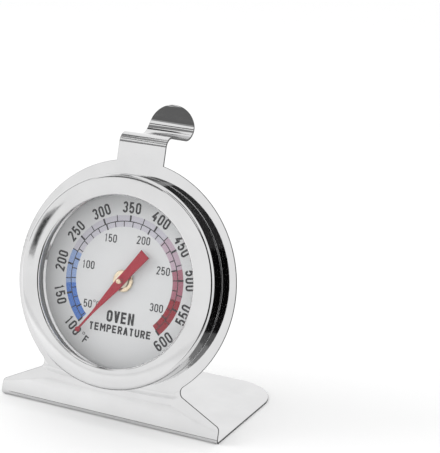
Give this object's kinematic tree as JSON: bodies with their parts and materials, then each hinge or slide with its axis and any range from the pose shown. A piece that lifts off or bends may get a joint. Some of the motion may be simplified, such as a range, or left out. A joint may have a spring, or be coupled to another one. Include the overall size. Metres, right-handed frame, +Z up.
{
  "type": "oven thermometer",
  "caption": "Dial oven thermometer: round glazed case in a polished sheet stand with a flat base and a hanging hook, bimetal coil turning a red pointer over a two-scale dial",
  "frame": {"origin": "middle of the base plate's underside, on the surface it stands on", "axes": "+X to the right seen from the dial side, +Y backwards, +Z up; the dial faces -Y and leans back 12 degrees"},
  "size_m": [0.062, 0.0461, 0.0761],
  "materials": {
    "polished_steel": "mirror-polished stainless sheet",
    "plain_steel": "plain stamped steel",
    "lens_glass": "clear",
    "gasket": "matte",
    "dial_face": "matte light grey with printed scales",
    "brass": "turned",
    "fibre": "matte",
    "bimetal": "rolled strip",
    "pointer_red": "satin red paint"
  },
  "bodies": {
    "thermometer": {"stand_plate": "polished_steel", "case_cup": "polished_steel", "bezel": "polished_steel", "spacer_ring": "polished_steel", "lens": "lens_glass", "lens_gasket": "gasket", "dial_plate": "dial_face", "dial_support_ring": "plain_steel", "support_spring": "plain_steel", "bearing_bush": "brass", "dial_washer": "fibre", "movement_bracket": "plain_steel", "bush_washer": "plain_steel", "bush_nut": "brass", "calibration_stud": "brass", "stud_clip": "plain_steel", "bimetal_coil": "bimetal", "spindle_washer": "fibre"},
    "movement": {"spindle": "plain_steel", "drive_arm": "plain_steel", "arm_collar": "brass", "pointer": "pointer_red", "pointer_cap": "brass"}
  },
  "joints": [
    {"name": "pointer_turn", "type": "hinge", "parent": "thermometer", "child": "movement", "pos_m": [0, -0.01392, 0.03448], "axis": [0, 0.9781, -0.2079], "range_deg": [-12, 280], "stiffness_Nm_per_rad": 0.0002}
  ]
}
